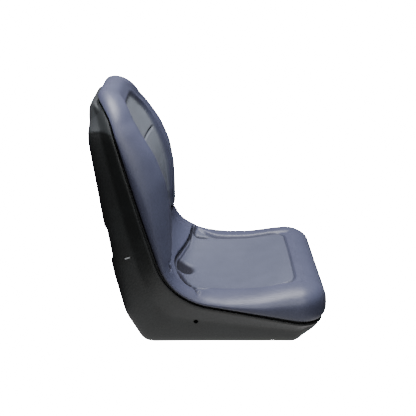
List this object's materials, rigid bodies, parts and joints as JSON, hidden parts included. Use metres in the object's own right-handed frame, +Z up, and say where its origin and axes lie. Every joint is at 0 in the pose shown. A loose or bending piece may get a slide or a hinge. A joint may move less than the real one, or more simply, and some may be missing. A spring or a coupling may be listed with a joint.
{
  "type": "bucket seat",
  "caption": "One-piece high-back bucket seat: moulded vinyl cushion with side bolsters and sunken panels, set in a hollow black plastic shell with a flat bolt-down base.",
  "frame": {"origin": "the centre of the four mounting holes, on the plane of the flat underside", "axes": "+X points forward, the way the sitter faces; +Y points to the sitter's left; +Z points up, away from the machine's deck"},
  "size_m": [0.5441, 0.4869, 0.5927],
  "materials": {
    "shell_plastic": "pebble-grained black polyethylene, dull sheen",
    "vinyl": "slate blue-grey vinyl skin with a fine leather grain, soft sheen",
    "black_steel": "black-painted pressed steel",
    "zinc_steel": "bright zinc-plated steel",
    "drain_plastic": "black moulded plastic"
  },
  "bodies": {
    "root": {"shell": "shell_plastic", "cushion": "vinyl", "seat_board": "black_steel", "back_board": "black_steel", "rail_left": "black_steel", "rail_right": "black_steel", "weld_nuts": "zinc_steel", "base_screws": "zinc_steel", "hook_left": "zinc_steel", "hook_right": "zinc_steel", "drain_tube": "drain_plastic"}
  },
  "joints": []
}
